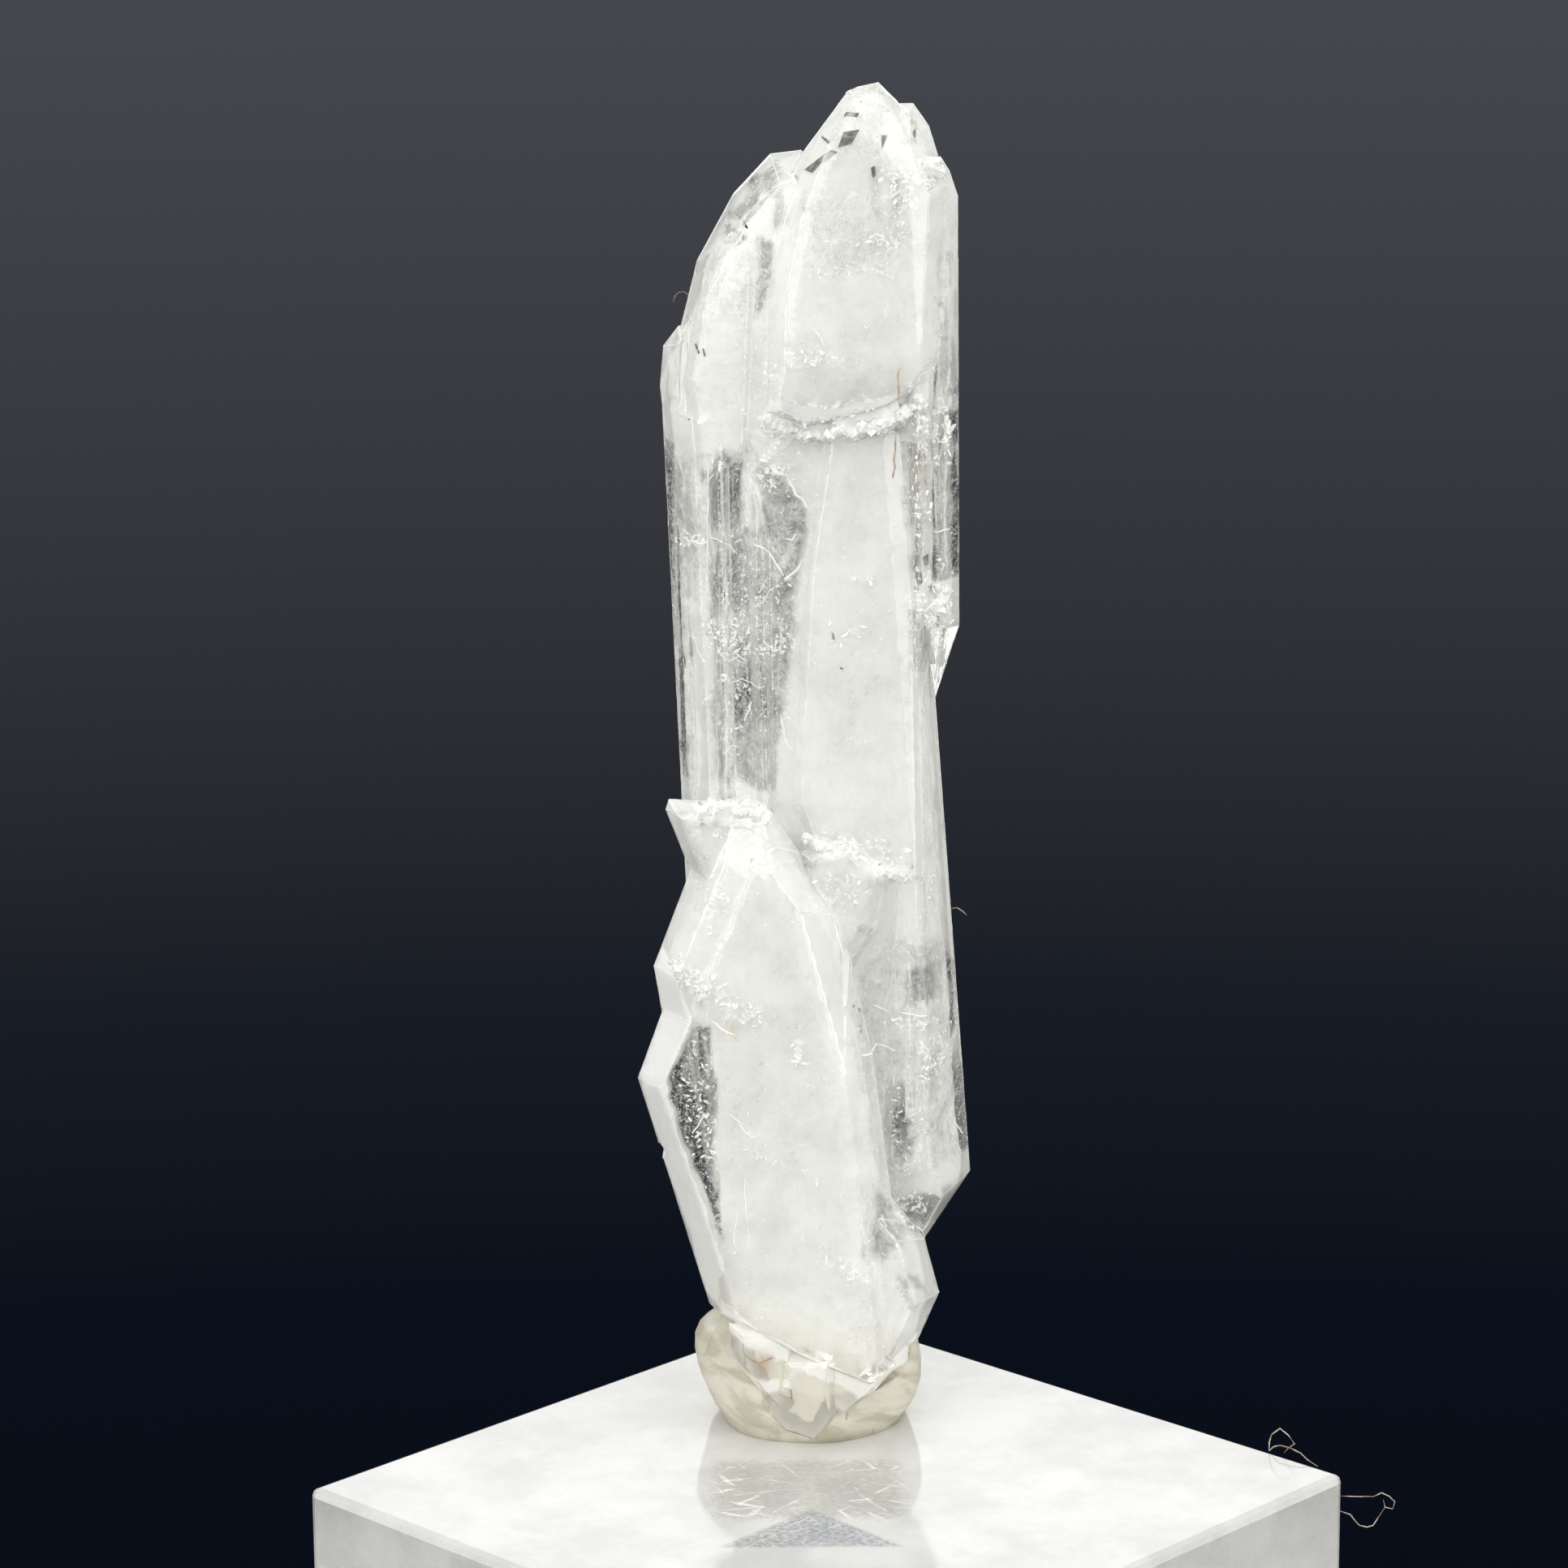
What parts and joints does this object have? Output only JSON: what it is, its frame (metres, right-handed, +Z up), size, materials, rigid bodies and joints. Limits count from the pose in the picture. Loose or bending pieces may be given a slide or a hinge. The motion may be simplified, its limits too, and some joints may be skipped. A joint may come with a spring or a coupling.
{
  "type": "faden quartz specimen",
  "caption": "Tabular faden quartz crystal group standing upright, pressed into a ball of mineral putty on a clear cube.",
  "frame": {"origin": "centre of the cube's underside, where it rests", "axes": "+Z up along the crystal's length; the broad front face of the crystal looks along -Y"},
  "size_m": [0.0534, 0.0534, 0.1093],
  "materials": {
    "quartz": "glossy",
    "putty": "matte",
    "acrylic": "glossy"
  },
  "bodies": {
    "root": {"faden_quartz": "quartz", "putty": "putty", "acrylic_block": "acrylic"}
  },
  "joints": []
}
